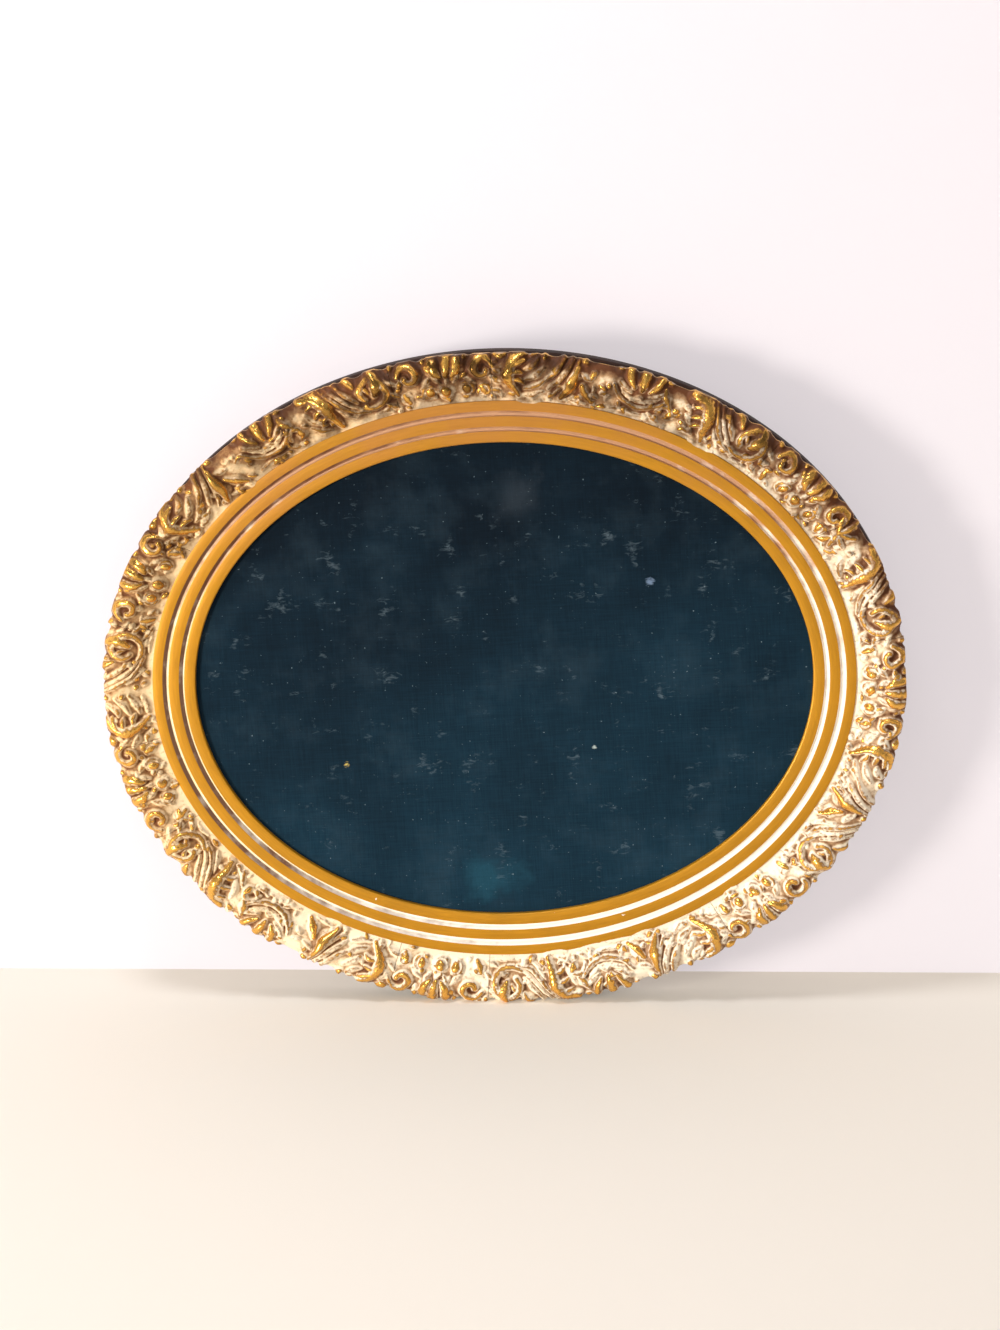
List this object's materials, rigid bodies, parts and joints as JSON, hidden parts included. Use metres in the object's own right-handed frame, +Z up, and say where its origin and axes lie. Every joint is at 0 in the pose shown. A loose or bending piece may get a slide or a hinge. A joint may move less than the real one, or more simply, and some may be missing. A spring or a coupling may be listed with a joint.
{
  "type": "oval picture frame",
  "caption": "Oval wall frame with stepped gilt bands, a carved-look scrolled border, a cloth covered board and turn buttons behind it.",
  "frame": {"origin": "centre of the oval, on the wall plane that the back of the frame lies against", "axes": "+X to the right along the long axis, +Z up, +Y into the wall, so the front faces -Y"},
  "size_m": [0.6412, 0.0401, 0.5396],
  "materials": {
    "gilded_wood": "gilt over gesso",
    "plain_wood": "dark stained",
    "composition": "moulded composition, cream painted with rubbed gilding",
    "board": "bare board",
    "cloth": "plain woven",
    "steel": "dull",
    "brass": "aged"
  },
  "bodies": {
    "frame": {"face_segment_1": "gilded_wood", "face_segment_2": "gilded_wood", "face_segment_3": "gilded_wood", "face_segment_4": "gilded_wood", "back_segment_1": "plain_wood", "back_segment_2": "plain_wood", "back_segment_3": "plain_wood", "back_segment_4": "plain_wood", "floret_casting_1": "composition", "floret_casting_2": "composition", "floret_casting_3": "composition", "floret_casting_4": "composition", "floret_casting_5": "composition", "floret_casting_6": "composition", "floret_casting_7": "composition", "leaf_casting_1": "composition", "leaf_casting_2": "composition", "leaf_casting_3": "composition", "leaf_casting_4": "composition", "leaf_casting_5": "composition", "leaf_casting_6": "composition", "leaf_casting_7": "composition", "backing_board": "board", "board_cloth": "cloth", "button_screws": "steel", "screw_eye_left": "brass", "screw_eye_right": "brass"},
    "turn_button_1": {"turn_button_1": "brass"},
    "turn_button_2": {"turn_button_2": "brass"},
    "turn_button_3": {"turn_button_3": "brass"},
    "turn_button_4": {"turn_button_4": "brass"},
    "turn_button_5": {"turn_button_5": "brass"},
    "turn_button_6": {"turn_button_6": "brass"},
    "hanging_ring_left": {"hanging_ring_left": "brass"},
    "hanging_ring_right": {"hanging_ring_right": "brass"}
  },
  "joints": [
    {"name": "turn_button_1_turn", "type": "hinge", "parent": "frame", "child": "turn_button_1", "pos_m": [-0.26515, -0.0118, 0], "axis": [0, 1, 0], "range_deg": [-115, 115]},
    {"name": "turn_button_2_turn", "type": "hinge", "parent": "frame", "child": "turn_button_2", "pos_m": [-0.13257, -0.0118, 0.18563], "axis": [0, 1, 0], "range_deg": [-115, 115]},
    {"name": "turn_button_3_turn", "type": "hinge", "parent": "frame", "child": "turn_button_3", "pos_m": [0.13257, -0.0118, 0.18563], "axis": [0, 1, 0], "range_deg": [-115, 115]},
    {"name": "turn_button_4_turn", "type": "hinge", "parent": "frame", "child": "turn_button_4", "pos_m": [0.26515, -0.0118, 0], "axis": [0, 1, 0], "range_deg": [-115, 115]},
    {"name": "turn_button_5_turn", "type": "hinge", "parent": "frame", "child": "turn_button_5", "pos_m": [0.13257, -0.0118, -0.18563], "axis": [0, 1, 0], "range_deg": [-115, 115]},
    {"name": "turn_button_6_turn", "type": "hinge", "parent": "frame", "child": "turn_button_6", "pos_m": [-0.13257, -0.0118, -0.18563], "axis": [0, 1, 0], "range_deg": [-115, 115]},
    {"name": "hanging_ring_left_swing", "type": "hinge", "parent": "frame", "child": "hanging_ring_left", "pos_m": [-0.23279, -0.0071, 0.09903], "axis": [1, 0, 0], "range_deg": [-10, 165]},
    {"name": "hanging_ring_right_swing", "type": "hinge", "parent": "frame", "child": "hanging_ring_right", "pos_m": [0.23279, -0.0071, 0.09903], "axis": [1, 0, 0], "range_deg": [-10, 165]}
  ]
}
